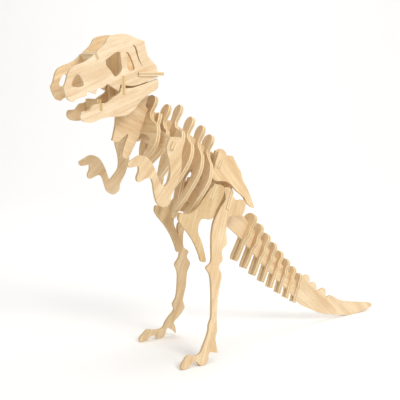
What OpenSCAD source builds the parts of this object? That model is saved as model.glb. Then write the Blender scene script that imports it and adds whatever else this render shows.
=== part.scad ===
// Wooden 3d jigsaw model: a standing dinosaur skeleton of slotted plywood plates.
// Units are millimetres. +Z is up, the head points to -X and the plane Y = 0 is the middle plane.
// The origin is on the ground under the middle of the model. The left and right arms and legs differ.

/* [Sheet] */
// Thickness of the plywood sheet
ply = 3.0; // [2.8:0.1:3.1]
// Clearance on each side of a plate in its slot
play = 0.06; // [0.03:0.01:0.12]
// Straight pieces that each smooth stretch of an outline is cut into
curve_steps = 3; // [2:1:5]

/* [Head and arms] */
// Distance of each head side plate from the middle plane
head_half = 12; // [11:0.5:13]
// Distance of each arm from the middle plane
arm_reach = 39; // [36:1:42]

/* [Hips and legs] */
// Distance of each pelvis side plate from the middle plane
ilium_half = 15; // [14.5:0.5:15.5]
// Distance of each forward hip bone from the middle plane
pubis_half = 19; // [19:0.5:20]
// Angle by which each leg leans outward
leg_splay = 9.3; // [9:0.1:9.6]

/* [Part to show] */
// Piece to draw, or all of them

/* [Hidden] */

slot = ply + 2 * play;      // width of every slot
seat = 0.1;                 // gap left where two slot ends meet
birch = [0.90, 0.79, 0.60];
birch_shade = [0.84, 0.71, 0.52];

// ---------------------------------------------------------------- outlines
// A point written [x, z] lies on a smooth curve and a point written [x, z, 1] is a sharp corner.

function is_corner(point) = len(point) == 3;
function spot(point) = [point.x, point.y];
function turn(i, points) = (i + len(points)) % len(points);

// Direction of the curve at point i, which is nothing at a sharp corner.
function heading(points, i) =
    let (
        before = spot(points[turn(i - 1, points)]),
        here = spot(points[i]),
        after = spot(points[turn(i + 1, points)])
    )
    is_corner(points[i]) ? [0, 0] : (after - before) / (norm(after - here) + norm(here - before));

// A cubic curve from one point to the next.
function curve(from, to, leave, arrive, t) =
    from * (2 * t ^ 3 - 3 * t ^ 2 + 1)
    + leave * (t ^ 3 - 2 * t ^ 2 + t)
    + to * (3 * t ^ 2 - 2 * t ^ 3)
    + arrive * (t ^ 3 - t ^ 2);

// The closed outline through all the points.
function outline(points) = [
    for (i = [0 : len(points) - 1])
        let (
            next = turn(i + 1, points),
            from = spot(points[i]),
            to = spot(points[next]),
            run = norm(to - from),
            straight = is_corner(points[i]) && is_corner(points[next]),
            steps = straight ? 1 : curve_steps
        )
        for (step = [0 : steps - 1])
            curve(from, to, run * heading(points, i), run * heading(points, next), step / steps)
];

// The right half of an outline, followed by its mirror image.
function both_halves(half) = concat(
    half,
    [for (i = [len(half) - 1 : -1 : 0])
        if (half[i].x > 0)
            is_corner(half[i]) ? [-half[i].x, half[i].y, 1] : [-half[i].x, half[i].y]]
);

// The same points moved by a step.
function shifted(points, step) = [
    for (point = points)
        is_corner(point) ? [point.x + step.x, point.y + step.y, 1] : point + step
];

// ---------------------------------------------------------------- plates and slots

// A plate parallel to the middle plane, drawn as (x, z).
module side_plate(y = 0) {
    translate([0, y + ply / 2, 0])
        rotate([90, 0, 0])
            linear_extrude(ply)
                children();
}

// A plate across the middle plane, drawn as (y, up). It stands on the line through place = [x, z, lean]
// and its upper end leans back by the lean angle.
module cross_plate(place) {
    translate([place[0], 0, place[1]])
        rotate([0, place[2], 0])
            rotate([90, 0, 90])
                translate([0, 0, -ply / 2])
                    linear_extrude(ply)
                        children();
}

// The slot that a cross plate needs in a side plate, from low to high along its own leaning line.
module slot_for_cross(place, low, high) {
    translate([place[0], place[1]])
        rotate(-place[2])
            translate([-slot / 2, low])
                square([slot, high - low]);
}

// The slot that a side plate needs in a cross plate.
module slot_for_side(y, low, high) {
    translate([y - slot / 2, low])
        square([slot, high - low]);
}

// ---------------------------------------------------------------- ribs
// place = [x, z, lean] of the top of the plate, then the distances down the plate and the half widths.

rib_count = 6;
rib_slot_top = 19;          // where a rib's slot meets the spine's slot, below the rib's top
rib_arch_top = 30;
rib_places = [
    [-75.5, 203, 22],
    [-63, 196, 25],
    [-52.5, 195.4, 25],
    [-42.5, 186, 25],
    [-33, 179, 25],
    [-25.5, 171.6, 25]
];
rib_lobe = [8, 5.8, 5, 5.6, 5.5, 6.5];
rib_widest = [29, 18.5, 24, 21.5, 22, 23];
rib_widest_at = [34, 31, 31, 34, 37, 37];
rib_tip = [20, 8, 13, 10, 10, 8.5];
rib_length = [49, 48, 58, 61, 70, 71];
rib_arm = 9;                // width of an arm at its widest

module rib(i) {
    wide = rib_widest[i];
    at = rib_widest_at[i];
    long = rib_length[i];
    tip = rib_tip[i];
    lobe = rib_lobe[i];
    lower = (at + long) / 2;
    lower_half = wide * 0.45 + tip * 0.55 + 2.2;
    half = [
        [0, 0],
        [lobe * 0.7, -1.5],
        [lobe, -5.5],
        [lobe * 0.85, -10],
        [lobe * 0.8, -14],
        [lobe + 3.5, -18.5],
        [wide * 0.8, -at * 0.67],
        [wide, -at],
        [lower_half, -lower],
        [tip + 1.5, -long + 2.5],
        [tip - 1, -long],
        [tip - 3, -long + 4],
        [lower_half - rib_arm * 0.75, -lower + 2],
        [wide - rib_arm, -at - 1],
        [wide - rib_arm - 3, -rib_arch_top - 1.5],
        [slot / 2 + 3, -rib_arch_top + 0.5]
    ];
    cross_plate(rib_places[i])
        difference() {
            polygon(outline(both_halves(concat(half, [[0, -rib_arch_top]]))));
            slot_for_side(0, -rib_arch_top - 3, -rib_slot_top);
        }
}

// ---------------------------------------------------------------- tail plates

tail_count = 8;
tail_slot_top = 14.5;
function tail_length(i) = 41.5 - 2.25 * i;
function tail_lean(i) = 27 - 1.8 * i;
function tail_size(i) = tail_length(i) / tail_length(0);
function tail_place(i) = [15.2 + 7.1 * i, 105 - 9.4 * i + 0.17 * i ^ 2, tail_lean(i)];

module tail_plate(i) {
    long = tail_length(i);
    size = tail_size(i);
    half = size * [
        [0, 0],
        [4, -0.8],
        [7.4, -3.6],
        [7.8, -7],
        [6.4, -10.5],
        [6.2, -13],
        [7.4, -17],
        [6.6, -20],
        [5, -22.5],
        [4.8, -30]
    ];
    cross_plate(tail_place(i))
        difference() {
            polygon(outline(both_halves(concat(half, [[4.6 * size, -long + 2.5], [3.4, -long, 1]]))));
            slot_for_side(0, -long - 1, -tail_slot_top * size);
        }
}

// ---------------------------------------------------------------- spine and tail

module spine() {
    points = [
        [-81.2, 202],
        [-80, 212],
        [-84, 216.2, 1],
        [-108, 216.2, 1],
        [-112, 211],
        [-111, 200],
        [-107, 188],
        [-109.5, 174],
        [-110.5, 171.5, 1],
        [-106, 170.2],
        [-101, 174],
        [-97.5, 175.5],
        [-101.2, 166],
        [-102.3, 159.6],
        [-98.5, 157.5],
        [-92, 168],
        [-86, 176.5],
        [-80.5, 173.5],
        [-66, 169.5],
        [-50, 157],
        [-37, 147],
        [-31, 141, 1],
        [-15, 141, 1],
        [-14.5, 148],
        [-12, 156],
        [-16, 160.3],
        [-22, 159],
        [-28, 159],
        [-32.8, 163.4],
        [-42.7, 170.8],
        [-59.4, 182.2],
        [-70.5, 187.5],
        [-82.9, 194.8]
    ];
    side_plate()
        difference() {
            polygon(outline(points));
            for (i = [0 : rib_count - 1])
                slot_for_cross(rib_places[i], -rib_slot_top - seat, 2);
            slot_for_cross(braincase_place, -braincase_lap - seat, 20);
            slot_for_cross(shoulder_place, -40, -shoulder_lap);
            slot_for_cross(pelvis_place, -pelvis_lap - seat, 10);
            knob(play);
        }
}

// The jigsaw knob that ties the tail to the back.
knob_x = -21;
knob_z = 146.5;
knob_r = 3;
knob_neck = 3.4;

module knob(grow = 0) {
    translate([knob_x, knob_z])
        circle(knob_r + grow, $fn = 40);
    translate([knob_x - knob_neck / 2 - grow, tail_top - 1])
        square([knob_neck + 2 * grow, knob_z - tail_top + 1]);
}

tail_top = 140.8;

module tail_spine() {
    points = [
        [-33, tail_top, 1],
        [-15, tail_top, 1],
        [-13.5, 134],
        [-6, 120],
        [2, 108],
        [10.1, 98.1],
        [17.6, 89],
        [32.5, 71.7],
        [47.4, 55.9],
        [61.5, 41, 1],
        [66.3, 41.1],
        [69.6, 44.2],
        [75.1, 44.4],
        [76.5, 36, 1],
        [81, 37.1],
        [83.3, 35.9],
        [84.1, 27.5, 1],
        [89.2, 29.5],
        [93.8, 29.7],
        [95.3, 20.2, 1],
        [101, 22.1],
        [105.8, 19.5],
        [110.6, 16.9],
        [119.1, 13.6],
        [137.6, 9.7],
        [150, 7.2],
        [150.85, 4.6],
        [146.7, 2.4],
        [130.2, 0, 1],
        [124, 0, 1],
        [93.5, 6.1],
        [78.3, 12.8],
        [66.9, 19.2],
        [56, 31],
        [40.4, 45.5],
        [24.7, 61.4],
        [8.9, 78.9],
        [0.6, 87.8],
        [-14, 100],
        [-27, 111],
        [-35, 122],
        [-38, 133]
    ];
    side_plate()
        difference() {
            polygon(outline(points));
            for (i = [0 : tail_count - 1])
                slot_for_cross(tail_place(i), -tail_slot_top * tail_size(i) - seat, 2);
            slot_for_cross(hip_place, -60, -hip_lap);
        }
    side_plate()
        knob();
}

// ---------------------------------------------------------------- head

braincase_place = [-106.5, 216.3, 0];
braincase_lap = 8;
braincase_tab_low = -11.8;  // the tab at each side of the braincase plate, measured down the plate
braincase_tab_high = 1.4;
braincase_top = 19;         // how far the plate stands up between the skull sides
forehead_place = [-127, 232.5, -28];
forehead_tab_low = -3.8;
nape_z = 219;
jaw_brace_place = [-124, 199.5, 0];
jaw_tab_low = -5.8;
jaw_tab_high = -0.4;

module skull_shape() {
    points = [
        [-147.1, 220.5],
        [-144.1, 223.8],
        [-133.8, 227.9],
        [-126.3, 234],
        [-120.2, 239.5],
        [-117, 244.3],
        [-110, 246.3],
        [-104, 246.7],
        [-96.3, 244.1],
        [-89.6, 242.1, 1],
        [-86.9, 231.7],
        [-79.8, 223.9],
        [-79, 216.8, 1],
        [-84.7, 214.7],
        [-99.2, 210.6],
        [-108.6, 212.1, 1],
        [-110.2, 207.2, 1],
        [-114.7, 210.1],
        [-118.5, 212.2],
        [-121.6, 209.5, 1],
        [-126.1, 209.5, 1],
        [-127.7, 205.4, 1],
        [-134, 207.6, 1],
        [-134.4, 204.1, 1],
        [-141.8, 202.2],
        [-144.1, 200.2, 1],
        [-147.7, 201.7],
        [-151, 209.8],
        [-149.5, 213.1]
    ];
    nostril = [
        [-142.1, 218.5], [-139.2, 218.5], [-136.4, 212],
        [-138.7, 210.3], [-144.5, 210.7], [-145.2, 212.4]
    ];
    eye = [
        [-120.4, 227.3], [-115.8, 231.4], [-111.2, 234.2], [-108.5, 234.2, 1],
        [-107.9, 227.4], [-107.6, 221.8], [-112.3, 217], [-116, 221.1]
    ];
    cheek = [
        [-104.2, 234.3], [-101.9, 233.6], [-97.4, 223.2],
        [-99, 221.5], [-102.5, 221.8], [-103.6, 228.8]
    ];
    temple = [[-98.7, 239.9, 1], [-96, 237.5], [-94, 230], [-91, 223.9, 1], [-94, 228], [-96.4, 234]];
    difference() {
        polygon(outline(points));
        polygon(outline(nostril));
        polygon(outline(eye));
        polygon(outline(cheek));
        polygon(outline(temple));
        // slots for the cross plates of the head
        slot_for_cross(braincase_place, braincase_tab_low - play, braincase_tab_high + play);
        slot_for_cross(forehead_place, forehead_tab_low - play, 8);
        translate([-95, nape_z - slot / 2])
            square([20, slot]);
    }
}

module jaw_shape() {
    points = [
        [-139.3, 189.2],
        [-138.4, 193.3],
        [-133.2, 193.8],
        [-129.4, 197.9],
        [-119.6, 199],
        [-114.9, 202.4],
        [-109.4, 205.8],
        [-108.6, 209.3, 1],
        [-99.2, 209.3],
        [-79.1, 215.6, 1],
        [-79.1, 208.9],
        [-87.3, 204],
        [-93, 199.9],
        [-98.7, 193.6],
        [-105.1, 189.9],
        [-118.3, 189.2],
        [-124.4, 188],
        [-130.5, 185.8],
        [-136.4, 186.3]
    ];
    difference() {
        polygon(outline(points));
        slot_for_cross(jaw_brace_place, jaw_tab_low - play, 4);
        slot_for_cross(braincase_place, braincase_tab_low - play, braincase_tab_high + play);
    }
}

module braincase_plate() {
    reach = head_half + ply / 2;
    inner = head_half - slot / 2;
    cross_plate(braincase_place)
        difference() {
            polygon([
                [-reach, braincase_tab_high],
                [-inner, braincase_tab_high],
                [-inner, braincase_top - 2],
                [-inner + 2, braincase_top],
                [inner - 2, braincase_top],
                [inner, braincase_top - 2],
                [inner, braincase_tab_high],
                [reach, braincase_tab_high],
                [reach, braincase_tab_low],
                [inner, braincase_tab_low],
                [inner, -20],
                [-inner, -20],
                [-inner, braincase_tab_low],
                [-reach, braincase_tab_low]
            ]);
            slot_for_side(0, -21, -braincase_lap);
        }
}

module forehead_plate() {
    reach = head_half + ply / 2;
    inner = head_half - slot / 2;
    cross_plate(forehead_place)
        polygon(outline(both_halves([
            [0, 1.5], [reach, 0.8, 1], [reach, forehead_tab_low, 1], [inner, forehead_tab_low, 1], [0, -9]
        ])));
}

module nape_plate() {
    reach = head_half + ply / 2 + 1.5;
    inner = head_half - slot / 2;
    translate([0, 0, nape_z - ply / 2])
        linear_extrude(ply)
            polygon([
                [-103, -inner], [-94.8, -inner], [-94.8, -reach], [-75, -reach], [-73.5, -reach + 4],
                [-73.5, reach - 4], [-75, reach], [-94.8, reach], [-94.8, inner], [-103, inner]
            ]);
}

module jaw_brace() {
    reach = head_half + ply / 2;
    inner = head_half - slot / 2;
    cross_plate(jaw_brace_place)
        polygon([
            [-inner, 2],
            [inner, 2],
            [inner, jaw_tab_high],
            [reach, jaw_tab_high],
            [reach, jaw_tab_low],
            [inner, jaw_tab_low],
            [inner, -9],
            [-inner, -9],
            [-inner, jaw_tab_low],
            [-reach, jaw_tab_low],
            [-reach, jaw_tab_high],
            [-inner, jaw_tab_high]
        ]);
}

// ---------------------------------------------------------------- shoulders and arms

shoulder_place = [-72.4, 190, 25];
shoulder_lap = 8;
arm_peg_low = -25.3;        // the peg at each end of the shoulder plate, measured down the plate
arm_peg_high = -20.3;
arm_peg_length = ply + 2;

module shoulder_plate() {
    bar_end = arm_reach - ply / 2 - 0.1;
    peg_end = bar_end + arm_peg_length;
    half = [
        [0, 0, 1],
        [5, 0, 1],
        [7, -5],
        [9, -11],
        [20, -14],
        [bar_end, -17, 1],
        [bar_end, arm_peg_high, 1],
        [peg_end, arm_peg_high, 1],
        [peg_end, arm_peg_low, 1],
        [bar_end, arm_peg_low, 1],
        [bar_end, -26.5, 1],
        [18, -24],
        [8, -22],
        [0, -24]
    ];
    cross_plate(shoulder_place)
        difference() {
            polygon(outline(both_halves(half)));
            slot_for_side(0, -shoulder_lap - seat, 1);
        }
}

// The left hand is held higher than the right one: the two halves of each arm's outline are shifted apart.
module arm(side) {
    upper_shift = side < 0 ? [2.2, 0.3] : [-1.2, -1.2];
    hand_shift = side < 0 ? [2, 3.2] : [-1.5, -3.8];
    upper = [
        [-90.8, 141],
        [-86.5, 147],
        [-86.5, 157],
        [-89, 168],
        [-86, 175, 1],
        [-76.5, 174.5],
        [-75.5, 170],
        [-77, 163],
        [-77.3, 154],
        [-80.5, 143],
        [-85.8, 133.5],
        [-86.5, 129],
        [-91.5, 126],
        [-96.5, 129],
        [-98.6, 135]
    ];
    hand = [
        [-100.5, 143.5],
        [-104, 145],
        [-111, 142.5],
        [-112.3, 145.5],
        [-110.6, 150],
        [-111, 153.5],
        [-117.5, 153],
        [-118.9, 156],
        [-114.5, 158.5],
        [-109.5, 160.8],
        [-103, 158.5],
        [-97.8, 150],
        [-94, 140.5]
    ];
    side_plate(side * arm_reach)
        difference() {
            polygon(outline(concat(shifted(upper, upper_shift), shifted(hand, hand_shift))));
            slot_for_cross(shoulder_place, arm_peg_low - play, arm_peg_high + play);
        }
}

// ---------------------------------------------------------------- pelvis and legs

pelvis_place = [-24.6, 156, 24];
pelvis_lap = 7;
pelvis_window = 3.2;        // half height of the window in each pelvis side
pelvis_window_at = -6.1;
pubis_lap = -34;            // where a forward hip bone's slot meets the pelvis plate's notch
pelvis_low = -41;

hip_place = [-12.5, 134, 24];
hip_lap = 14;
hip_low = -31;
leg_lap = -21;              // where a leg's slot meets the hip plate's notch
leg_seat = 0.7;             // gap left under that notch, wide enough for the lean of the leg

hip_leg_half = 13.6;        // distance of each leg from the middle plane at the height below
hip_leg_z = 130;
leg_foot_half = hip_leg_half + hip_leg_z * tan(leg_splay);
leg_lift = ply / 2 * sin(leg_splay);
skew = ply * sin(leg_splay) * sin(hip_place[2]);   // extra slot width where the leg and the hip plate cross

module ilium(side) {
    points = [
        [-28.6, 160, 1],
        [-26, 161],
        [-22.9, 159.5, 1],
        [-22, 157.1, 1],
        [-15.5, 156, 1],
        [-11.7, 148.7],
        [-7.9, 142.9],
        [-6, 136.5],
        [-1.1, 128.1],
        [3.9, 117.2],
        [4.9, 113.1],
        [-1.9, 117.7],
        [-4.8, 122.8],
        [-12.5, 129],
        [-17.2, 134.1],
        [-22.8, 136.9],
        [-32, 138.2],
        [-34.5, 142],
        [-32, 150]
    ];
    side_plate(side * ilium_half)
        difference() {
            polygon(outline(points));
            slot_for_cross(pelvis_place, pelvis_window_at - pelvis_window, pelvis_window_at + pelvis_window);
        }
}

module pelvis_plate() {
    inner = ilium_half - slot / 2;
    peg = ilium_half + ply / 2 + 0.6;
    peg_low = pelvis_window_at - pelvis_window + play;
    peg_high = pelvis_window_at + pelvis_window - play;
    outer = pubis_half + ply / 2 + 0.3;
    under = pubis_half - slot / 2;
    half = [
        [0, 1],
        [inner, 1, 1],
        [inner, peg_high, 1],
        [peg, peg_high, 1],
        [peg, peg_low, 1],
        [inner, peg_low, 1],
        [inner, -21, 1],
        [outer, -22, 1],
        [outer, pubis_lap, 1],
        [under, pubis_lap, 1],
        [under, pelvis_low + 3, 1],
        [under - 4, pelvis_low, 1]
    ];
    cross_plate(pelvis_place)
        difference() {
            polygon(outline(both_halves(half)));
            slot_for_side(0, pelvis_low - 1, -pelvis_lap);
        }
}

module pubis(side) {
    points = [
        [-38, 133],
        [-31, 135.5],
        [-26, 133],
        [-27, 126],
        [-33, 116.5],
        [-37.5, 109],
        [-46.5, 110],
        [-49.5, 101],
        [-46, 92],
        [-43.3, 82],
        [-42.6, 76.6],
        [-46.3, 76.6],
        [-48.1, 82],
        [-52.5, 92],
        [-57.7, 100],
        [-66, 111],
        [-65, 116.5],
        [-58, 115],
        [-51, 118],
        [-44, 126]
    ];
    side_plate(side * pubis_half)
        difference() {
            polygon(outline(points));
            slot_for_cross(pelvis_place, pubis_lap - seat, 0);
        }
}

module hip_plate() {
    // half width of the plate where it meets a leg's outer face or inner face, at a distance up the plate
    function leg_at(up) = leg_foot_half - (hip_place[1] + up * cos(hip_place[2]) - leg_lift) * tan(leg_splay);
    side_cut = (ply / 2 + 0.3) / cos(leg_splay);
    half = [
        [0, 1],
        [10.5, 1, 1],
        [11.5, -4.5, 1],
        [leg_at(-7) + side_cut, -7, 1],
        [leg_at(leg_lap) + side_cut, leg_lap, 1],
        [leg_at(leg_lap) - side_cut, leg_lap, 1],
        [leg_at(-28) - side_cut, -28, 1],
        [8, hip_low],
        [0, hip_low + 1]
    ];
    cross_plate(hip_place)
        difference() {
            polygon(outline(both_halves(half)));
            slot_for_side(0, -hip_lap - seat, 4);
        }
}

// The two legs share the crown that fits the hip plate and the toes. Each has its own stride between them.
leg_crown = [
    [-27, 118],
    [-21.9, 124],
    [-22, 132.7],
    [-17.2, 132.4],
    [-13.3, 123],
    [-4.8, 122],
    [-3.8, 117.7],
    [-7.5, 110.5],
    [-20, 110]
];
leg_toes = [
    [-47.9, 8.5],
    [-50.6, 1.3],
    [-54, 0, 1],
    [-57, 0, 1],
    [-61.2, 4.3],
    [-67.4, 0.8],
    [-70, 0, 1],
    [-73, 0, 1],
    [-73.4, 2.8],
    [-70, 6.9],
    [-66.5, 9.7],
    [-59.5, 7.9]
];

module left_leg_shape() {
    rear = [
        [-23.5, 102],
        [-24.5, 88.8],
        [-29, 85],
        [-29.4, 77],
        [-33, 73.1],
        [-31.2, 65.5],
        [-33, 60],
        [-36.8, 47],
        [-39.2, 33],
        [-39.4, 24.5],
        [-41.8, 18],
        [-41, 10.5],
        [-40.6, 6.8]
    ];
    front = [
        [-55.5, 9.8],
        [-52.9, 14],
        [-49.5, 19.6],
        [-46.9, 25.5],
        [-46.2, 29.5],
        [-43.6, 34.5],
        [-42.3, 45],
        [-41.4, 56],
        [-41.6, 67.5],
        [-44.4, 73.2],
        [-39.6, 76.8],
        [-38.3, 87],
        [-37, 98],
        [-34, 108]
    ];
    polygon(outline(concat(leg_crown, rear, leg_toes, front)));
}

module right_leg_shape() {
    rear = [
        [-30, 102],
        [-38.5, 97.5],
        [-40, 92],
        [-38.7, 80],
        [-33.7, 76],
        [-34.9, 71],
        [-31.1, 65],
        [-33.4, 57],
        [-33.4, 45],
        [-35.2, 32],
        [-33, 26],
        [-34, 22.5],
        [-38, 17],
        [-42.2, 12.8],
        [-40.4, 8],
        [-39.6, 1.5, 1]
    ];
    front = [
        [-52.4, 8.7],
        [-49.7, 14.2],
        [-47.2, 17.8],
        [-42.6, 23.5],
        [-44.2, 29.2],
        [-41.6, 35],
        [-41.3, 47],
        [-42.2, 58],
        [-45.3, 65],
        [-42.2, 70.5],
        [-41.6, 78],
        [-43.2, 87],
        [-45.4, 94],
        [-45, 101],
        [-38, 105.5],
        [-32.5, 110.5]
    ];
    polygon(outline(concat(leg_crown, rear, leg_toes, front)));
}

// The shape is given as a child.
module leg(side) {
    // the hip plate's line as it falls on the leg's own leaning plane
    slot_place = [
        hip_place[0],
        (hip_place[1] - leg_lift) / cos(leg_splay),
        atan(cos(leg_splay) * tan(hip_place[2]))
    ];
    translate([0, side * leg_foot_half, leg_lift])
        rotate([side * leg_splay, 0, 0])
            side_plate()
                difference() {
                    children();
                    translate([slot_place[0], slot_place[1]])
                        rotate(-slot_place[2])
                            translate([-(slot + skew) / 2, leg_lap - leg_seat])
                                square([slot + skew, 40]);
                }
}

// ---------------------------------------------------------------- the pieces

color(birch) spine();
color(birch) tail_spine();
color(birch) side_plate(-head_half) skull_shape();  // skull_left
color(birch) side_plate(head_half) skull_shape();  // skull_right
color(birch) forehead_plate();
color(birch) braincase_plate();
color(birch) nape_plate();
color(birch) side_plate(-head_half) jaw_shape();  // jaw_left
color(birch) side_plate(head_half) jaw_shape();  // jaw_right
color(birch) jaw_brace();
color(birch_shade) rib(0);  // rib_1
color(birch_shade) rib(1);  // rib_2
color(birch_shade) rib(2);  // rib_3
color(birch_shade) rib(3);  // rib_4
color(birch_shade) rib(4);  // rib_5
color(birch_shade) rib(5);  // rib_6
color(birch_shade) shoulder_plate();
color(birch) arm(-1);  // arm_left
color(birch) arm(1);  // arm_right
color(birch_shade) pelvis_plate();
color(birch) ilium(-1);  // ilium_left
color(birch) ilium(1);  // ilium_right
color(birch) pubis(-1);  // pubis_left
color(birch) pubis(1);  // pubis_right
color(birch_shade) hip_plate();
color(birch) leg(-1) left_leg_shape();  // leg_left
color(birch) leg(1) right_leg_shape();  // leg_right
color(birch_shade) tail_plate(0);  // tail_plate_1
color(birch_shade) tail_plate(1);  // tail_plate_2
color(birch_shade) tail_plate(2);  // tail_plate_3
color(birch_shade) tail_plate(3);  // tail_plate_4
color(birch_shade) tail_plate(4);  // tail_plate_5
color(birch_shade) tail_plate(5);  // tail_plate_6
color(birch_shade) tail_plate(6);  // tail_plate_7
color(birch_shade) tail_plate(7);  // tail_plate_8
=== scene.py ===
"""Looks of the wooden 3d jigsaw model: bare plywood plates on a pale studio floor.

Every plate is a carried-over CAD node. Each gets its own plywood material, laid out from the plate's own
plane and length, and a small bevel. Lengths are metres unless a name ends in _mm.
"""

import math
import random

import bpy
import numpy as np
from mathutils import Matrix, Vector

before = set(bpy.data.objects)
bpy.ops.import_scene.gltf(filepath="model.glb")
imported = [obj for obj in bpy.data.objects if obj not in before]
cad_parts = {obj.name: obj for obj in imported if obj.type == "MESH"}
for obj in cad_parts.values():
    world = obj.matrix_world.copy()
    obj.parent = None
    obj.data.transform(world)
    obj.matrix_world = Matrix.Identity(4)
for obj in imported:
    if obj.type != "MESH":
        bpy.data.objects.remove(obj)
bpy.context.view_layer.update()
rng = random.Random(7)

MM = 0.001
PLATE_THICKNESS_MM = 3.0
VENEER_MM = 0.95
GLUE_MM = 0.09
BEVEL_MM = 0.16
BEVEL_ANGLE = math.radians(40)
BUMP_MM = 0.12

# Size of each pattern of the wood, in mm: along the grain, then across it.
BAND_SIZE_MM = (55, 3.4)
FIBRE_SIZE_MM = (7, 0.33)
PORE_SIZE_MM = (1.9, 0.16)
BLOTCH_SIZE_MM = (24, 13)

# The cut edges: the streaks' size along the sheet and through it, and how far the layers wander.
STREAK_LENGTH_MM = 0.7
STREAK_DEPTH_MM = 0.12
LAYER_WANDER_MM = 0.22

# ---------------------------------------------------------------- the view

CAMERA_AZIMUTH = math.radians(-31)
CAMERA_ELEVATION = math.radians(9.7)
CAMERA_DISTANCE = 0.6
CAMERA_TARGET = Vector((-0.0355, 0, 0.1209))
LENS_MM = 68.6
SENSOR_MM = 36

WARM_WHITE = (1, 0.985, 0.955)


def direction(azimuth, elevation):
    """The way from the target towards a camera or lamp, with azimuth 0 in front of the -Y side."""
    flat = math.cos(elevation)
    return Vector((math.sin(azimuth) * flat, -math.cos(azimuth) * flat, math.sin(elevation)))


def aim(obj, target):
    obj.rotation_euler = (target - obj.location).to_track_quat("-Z", "Y").to_euler()


def add_camera():
    data = bpy.data.cameras.new("camera")
    data.lens = LENS_MM
    data.sensor_width = SENSOR_MM
    camera = bpy.data.objects.new("camera", data)
    bpy.context.scene.collection.objects.link(camera)
    camera.location = CAMERA_TARGET + CAMERA_DISTANCE * direction(CAMERA_AZIMUTH, CAMERA_ELEVATION)
    aim(camera, CAMERA_TARGET)
    bpy.context.scene.camera = camera


def soft_lamp(name, place, target, size, power, colour=(1, 1, 1)):
    data = bpy.data.lights.new(name, "AREA")
    data.shape = "DISK"
    data.size = size
    data.energy = power
    data.color = colour
    lamp = bpy.data.objects.new(name, data)
    bpy.context.scene.collection.objects.link(lamp)
    lamp.location = place
    aim(lamp, target)


def add_lamp(name, azimuth, elevation, distance, size, power, colour=(1, 1, 1)):
    """A lamp that looks at the object, from an azimuth and an elevation in degrees."""
    way = direction(math.radians(azimuth), math.radians(elevation))
    soft_lamp(name, CAMERA_TARGET + distance * way, CAMERA_TARGET, size, power, colour)


def add_backdrop_lamp(power):
    """A wide lamp above the object that looks away from it, at the sweep behind."""
    away = -direction(CAMERA_AZIMUTH, 0)
    up = Vector((0, 0, 1))
    place = away * 0.35 + up * 1.5
    target = away * 1.5 + up * 0.5
    soft_lamp("backdrop", place, target, size=1.2, power=power)


def add_world(strength):
    world = bpy.data.worlds.new("studio")
    world.use_nodes = True
    background = world.node_tree.nodes["Background"]
    background.inputs["Color"].default_value = (1, 1, 1, 1)
    background.inputs["Strength"].default_value = strength
    bpy.context.scene.world = world


def add_floor():
    """A pale paper floor that sweeps up behind the object, square to the camera."""
    paper = (0.93, 0.925, 0.915, 1)
    half_width = 3.0
    front = -1.6
    back = 1.5
    bend = 0.8
    top = 2.4
    bend_steps = 16
    profile = [(front, 0.0), (back - bend, 0.0)]
    for step in range(1, bend_steps + 1):
        turn = math.radians(90) * step / bend_steps
        profile.append((back - bend + bend * math.sin(turn), bend - bend * math.cos(turn)))
    profile.append((back, top))
    away = -direction(CAMERA_AZIMUTH, 0)
    across = Vector((-away.y, away.x, 0))
    verts = []
    for distance, height in profile:
        for side in (-half_width, half_width):
            verts.append(away * distance + across * side + Vector((0, 0, height)))
    faces = [(2 * i, 2 * i + 1, 2 * i + 3, 2 * i + 2) for i in range(len(profile) - 1)]
    mesh = bpy.data.meshes.new("floor")
    mesh.from_pydata(verts, [], faces)
    for polygon in mesh.polygons:
        polygon.use_smooth = True
    floor = bpy.data.objects.new("floor", mesh)
    bpy.context.scene.collection.objects.link(floor)
    material = bpy.data.materials.new("floor_paper")
    material.use_nodes = True
    shader = material.node_tree.nodes["Principled BSDF"]
    shader.inputs["Base Color"].default_value = paper
    shader.inputs["Roughness"].default_value = 0.9
    shader.inputs["Specular IOR Level"].default_value = 0.2
    mesh.materials.append(material)


# ---------------------------------------------------------------- how a plate lies


def plate_axes(obj):
    """The plate's normal, long direction and cross direction, and where its middle plane lies in mm."""
    mesh = obj.data
    count = len(mesh.polygons)
    normals = np.empty(count * 3)
    areas = np.empty(count)
    mesh.polygons.foreach_get("normal", normals)
    mesh.polygons.foreach_get("area", areas)
    normals = normals.reshape(-1, 3)
    # A plate has most of its area on its two broad faces, so its faces point mostly along its normal.
    spread = np.einsum("i,ij,ik->jk", areas, normals, normals)
    normal = np.linalg.eigh(spread)[1][:, 2]
    points = np.empty(len(mesh.vertices) * 3)
    mesh.vertices.foreach_get("co", points)
    points = points.reshape(-1, 3)
    # Its long direction is the one in which its points are most spread out.
    flat = points - np.outer(points @ normal, normal)
    flat = flat - flat.mean(axis=0)
    along = np.linalg.eigh(flat.T @ flat)[1][:, 2]
    cross = np.cross(normal, along)
    heights = points @ normal
    middle_mm = (heights.min() + heights.max()) / 2 / MM
    return Vector(normal), Vector(along), Vector(cross), float(middle_mm)


# ---------------------------------------------------------------- plywood


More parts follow.
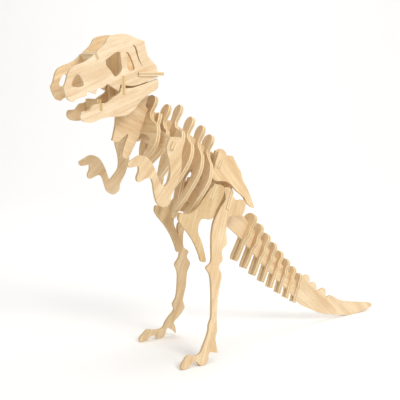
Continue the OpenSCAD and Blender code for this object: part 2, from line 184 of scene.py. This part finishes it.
class Graph:
    """Short names for the nodes that the plywood material is made of."""

    def __init__(self, material):
        self.tree = material.node_tree

    def put(self, socket, value):
        """Link another node's result to the socket, or set the socket to a plain value."""
        if isinstance(value, bpy.types.NodeSocket):
            self.tree.links.new(value, socket)
        else:
            socket.default_value = value

    def math(self, operation, a, b=0.0):
        node = self.tree.nodes.new("ShaderNodeMath")
        node.operation = operation
        self.put(node.inputs[0], a)
        self.put(node.inputs[1], b)
        return node.outputs[0]

    def plus(self, a, b):
        return self.math("ADD", a, b)

    def minus(self, a, b):
        return self.math("SUBTRACT", a, b)

    def times(self, a, b):
        return self.math("MULTIPLY", a, b)

    def absolute(self, a):
        return self.math("ABSOLUTE", a)

    def dot(self, vector, constant):
        node = self.tree.nodes.new("ShaderNodeVectorMath")
        node.operation = "DOT_PRODUCT"
        self.put(node.inputs[0], vector)
        node.inputs[1].default_value = constant
        return node.outputs["Value"]

    def combine(self, x, y, z):
        node = self.tree.nodes.new("ShaderNodeCombineXYZ")
        self.put(node.inputs[0], x)
        self.put(node.inputs[1], y)
        self.put(node.inputs[2], z)
        return node.outputs[0]

    def noise(self, vector, detail=2.0, roughness=0.5, distortion=0.0):
        node = self.tree.nodes.new("ShaderNodeTexNoise")
        self.put(node.inputs["Vector"], vector)
        node.inputs["Scale"].default_value = 1.0
        node.inputs["Detail"].default_value = detail
        node.inputs["Roughness"].default_value = roughness
        node.inputs["Distortion"].default_value = distortion
        return node.outputs["Fac"]

    def step(self, value, low, high, out_low=0.0, out_high=1.0):
        """A smooth step: out_low up to low, out_high from high on."""
        node = self.tree.nodes.new("ShaderNodeMapRange")
        node.interpolation_type = "SMOOTHSTEP"
        self.put(node.inputs["Value"], value)
        node.inputs["From Min"].default_value = low
        node.inputs["From Max"].default_value = high
        node.inputs["To Min"].default_value = out_low
        node.inputs["To Max"].default_value = out_high
        return node.outputs["Result"]

    def mix(self, factor, a, b):
        """The colour a where factor is 0, and the colour b where it is 1."""
        node = self.tree.nodes.new("ShaderNodeMix")
        node.data_type = "RGBA"
        self.put(node.inputs[0], factor)
        self.put(node.inputs[6], a)
        self.put(node.inputs[7], b)
        return node.outputs[2]


# The colours of bare plywood, as linear red, green and blue.
FACE_LIGHT = (0.875, 0.705, 0.47)
FACE_DARK = (0.68, 0.46, 0.245)
FLECK = (0.40, 0.24, 0.115)
EDGE_LIGHT = (0.86, 0.70, 0.45)
EDGE_CORE = (0.73, 0.53, 0.305)
GLUE = (0.33, 0.20, 0.10)

# Plates with their own shade and warmth, which replace the random ones. Most of these are painted light and
# shade: skull_left and jaw_left are painted lighter, as lit, and jaw_right, leg_right, tail_plate_1,
# braincase_plate and jaw_brace are painted darker and redder, as painted shade. The pubis plates are darker
# and redder partly from their own tint and partly as painted shade under the ribs; tail_spine has only its
# own slight tint.
PLATE_TINTS_AND_PAINTED_LIGHT = {
    "pubis_left": (0.86, 0.16),
    "pubis_right": (0.86, 0.12),
    "tail_plate_1": (0.93, 0.08),
    "skull_left": (1.03, -0.1),
    "jaw_left": (1.04, -0.1),
    "tail_spine": (1.0, -0.05),
    "jaw_right": (0.9, 0.08),
    "braincase_plate": (0.92, 0.2),
    "jaw_brace": (0.9, 0.2),
    "leg_right": (0.97, 0.03),
}


def tinted(colour, shade, warmth):
    """The colour made lighter or darker by shade, and warmer by warmth."""
    red, green, blue = colour
    return (red * shade, green * shade * (1 - 0.3 * warmth), blue * shade * (1 - warmth), 1)


class Spot:
    """Where a point lies in its plate, in mm: along the grain, across it and off the middle plane."""

    def __init__(self, graph, normal, along, cross, middle_mm):
        coordinates = graph.tree.nodes.new("ShaderNodeTexCoord")
        here = coordinates.outputs["Object"]
        self.graph = graph
        self.along_mm = graph.dot(here, along / MM)
        self.cross_mm = graph.dot(here, cross / MM)
        self.depth_mm = graph.minus(graph.dot(here, normal / MM), middle_mm)
        # 1 on the broad faces of the plate and 0 on its cut edges.
        self.facing = graph.absolute(graph.dot(coordinates.outputs["Normal"], normal))

    def grain(self, size_mm, offset):
        """The point's place in a pattern that is size_mm long along the grain and across it."""
        length, width = size_mm
        lengthwise = self.graph.times(self.along_mm, 1 / length)
        widthwise = self.graph.times(self.cross_mm, 1 / width)
        return self.graph.combine(lengthwise, widthwise, offset)


def broad_face(g, spot, seed, shade, warmth):
    """Growth bands, long fibres, short dark pores and a faint blotch, each from its own stretch of noise."""
    bands = g.noise(spot.grain(BAND_SIZE_MM, seed), detail=3.0, roughness=0.55, distortion=0.6)
    fibres = g.noise(spot.grain(FIBRE_SIZE_MM, seed + 11), detail=4.0, roughness=0.6)
    pores = g.noise(spot.grain(PORE_SIZE_MM, seed + 23), detail=1.0)
    blotch = g.noise(spot.grain(BLOTCH_SIZE_MM, seed + 37))
    tone = g.plus(g.times(bands, 0.55), g.times(fibres, 0.3))
    tone = g.plus(tone, g.times(blotch, 0.3))
    light_wood = tinted(FACE_LIGHT, shade, warmth)
    dark_wood = tinted(FACE_DARK, shade, warmth)
    wood = g.mix(g.step(tone, low=0.38, high=0.78), light_wood, dark_wood)
    pore_mark = g.step(pores, low=0.64, high=0.75, out_high=0.6)
    colour = g.mix(pore_mark, wood, tinted(FLECK, shade, 0))
    height = g.minus(g.times(fibres, 0.5), g.times(pore_mark, 0.9))
    return colour, height, fibres, blotch


def cut_edge(g, spot, blotch, seed, shade, warmth):
    """Two pale veneers with their fibres along the sheet, a darker core and thin glue lines."""
    wander_mm = g.times(g.minus(blotch, 0.5), LAYER_WANDER_MM)
    depth_mm = g.absolute(g.plus(spot.depth_mm, wander_mm))
    offset = g.plus(g.times(spot.depth_mm, 1 / STREAK_DEPTH_MM), seed)
    streaks = g.noise(spot.grain((STREAK_LENGTH_MM, STREAK_LENGTH_MM), offset), detail=3.0, roughness=0.65)

    light_edge = tinted(EDGE_LIGHT, shade, warmth)
    dark_edge = tinted(FACE_DARK, shade, warmth)
    veneer = g.mix(g.step(streaks, low=0.35, high=0.75, out_high=0.55), light_edge, dark_edge)
    light_core = tinted(EDGE_CORE, shade, warmth)
    dark_core = tinted(EDGE_CORE, shade * 0.78, warmth)
    core = g.mix(g.step(streaks, low=0.35, high=0.7), light_core, dark_core)

    core_half_mm = PLATE_THICKNESS_MM / 2 - VENEER_MM
    in_core = g.step(depth_mm, low=core_half_mm, high=core_half_mm + GLUE_MM, out_low=1, out_high=0)
    glue_distance_mm = g.absolute(g.minus(depth_mm, core_half_mm + GLUE_MM / 2))
    in_glue = g.step(glue_distance_mm, low=GLUE_MM / 2, high=GLUE_MM, out_low=0.75, out_high=0)
    colour = g.mix(in_glue, g.mix(in_core, veneer, core), tinted(GLUE, 1, 0))
    height = g.minus(g.times(streaks, 1.1), g.times(in_glue, 0.6))
    return colour, height, streaks


def rubbed_arris(g, facing, streaks):
    """How much a point is on the bevel between a face and an edge, where the wood is rubbed darker."""
    off_edge = g.step(facing, low=0.15, high=0.4)
    off_face = g.step(facing, low=0.93, high=0.985, out_low=1, out_high=0)
    uneven = g.step(streaks, low=0.35, high=0.65, out_low=0.15, out_high=0.6)
    return g.times(g.times(off_edge, off_face), uneven)


def plywood(name, normal, along, cross, middle_mm):
    """One plate's own plywood: its broad faces, its cut edges and the rubbed arris between them."""
    material = bpy.data.materials.new("plywood_" + name)
    material.use_nodes = True
    g = Graph(material)
    shader = material.node_tree.nodes["Principled BSDF"]
    seed = rng.uniform(0, 90)
    shade = rng.uniform(0.95, 1.04)
    warmth = rng.uniform(-0.05, 0.07)
    # Listed plates take their given shade and warmth instead: painted light on some, painted shade on
    # others.
    if name in PLATE_TINTS_AND_PAINTED_LIGHT:
        shade, warmth = PLATE_TINTS_AND_PAINTED_LIGHT[name]

    spot = Spot(g, normal, along, cross, middle_mm)
    face, face_height, fibres, blotch = broad_face(g, spot, seed, shade, warmth)
    edge, edge_height, streaks = cut_edge(g, spot, blotch, seed, shade, warmth)
    on_face = g.step(spot.facing, low=0.55, high=0.8)
    on_edge = g.minus(1.0, on_face)

    rubbed_wood = tinted(FACE_DARK, 0.8, warmth)
    colour = g.mix(on_face, edge, face)
    colour = g.mix(rubbed_arris(g, spot.facing, streaks), colour, rubbed_wood)
    g.put(shader.inputs["Base Color"], colour)

    # The edges are rougher than the faces.
    roughness = g.step(fibres, low=0.3, high=0.7, out_low=0.56, out_high=0.72)
    g.put(shader.inputs["Roughness"], g.plus(roughness, g.times(on_edge, 0.12)))
    shader.inputs["Specular IOR Level"].default_value = 0.3

    bump = material.node_tree.nodes.new("ShaderNodeBump")
    bump.inputs["Strength"].default_value = 0.45
    bump.inputs["Distance"].default_value = BUMP_MM * MM
    g.put(bump.inputs["Height"], g.plus(g.times(face_height, on_face), g.times(edge_height, on_edge)))
    g.put(shader.inputs["Normal"], bump.outputs["Normal"])
    return material


def ease_edges(obj):
    """A small bevel, so that the cut edges catch the light."""
    bevel = obj.modifiers.new("eased_edges", "BEVEL")
    bevel.width = BEVEL_MM * MM
    bevel.segments = 2
    bevel.limit_method = "ANGLE"
    bevel.angle_limit = BEVEL_ANGLE
    bevel.use_clamp_overlap = True
    bevel.miter_outer = "MITER_ARC"
    bevel.harden_normals = True


def finish_plates():
    for name in sorted(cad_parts):
        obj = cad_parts[name]
        material = plywood(name, *plate_axes(obj))
        for material_slot in obj.material_slots:
            material_slot.material = material
        ease_edges(obj)


# ---------------------------------------------------------------- the scene

add_camera()
add_world(strength=0.47)
add_lamp("key", azimuth=12, elevation=38, distance=1.3, size=0.6, power=8.6, colour=WARM_WHITE)
add_lamp("fill", azimuth=-70, elevation=20, distance=1.4, size=0.9, power=2.1)
add_lamp("top", azimuth=60, elevation=78, distance=1.3, size=0.9, power=3.5)
add_backdrop_lamp(power=9)
add_floor()
finish_plates()

bpy.context.scene.view_settings.view_transform = "Standard"
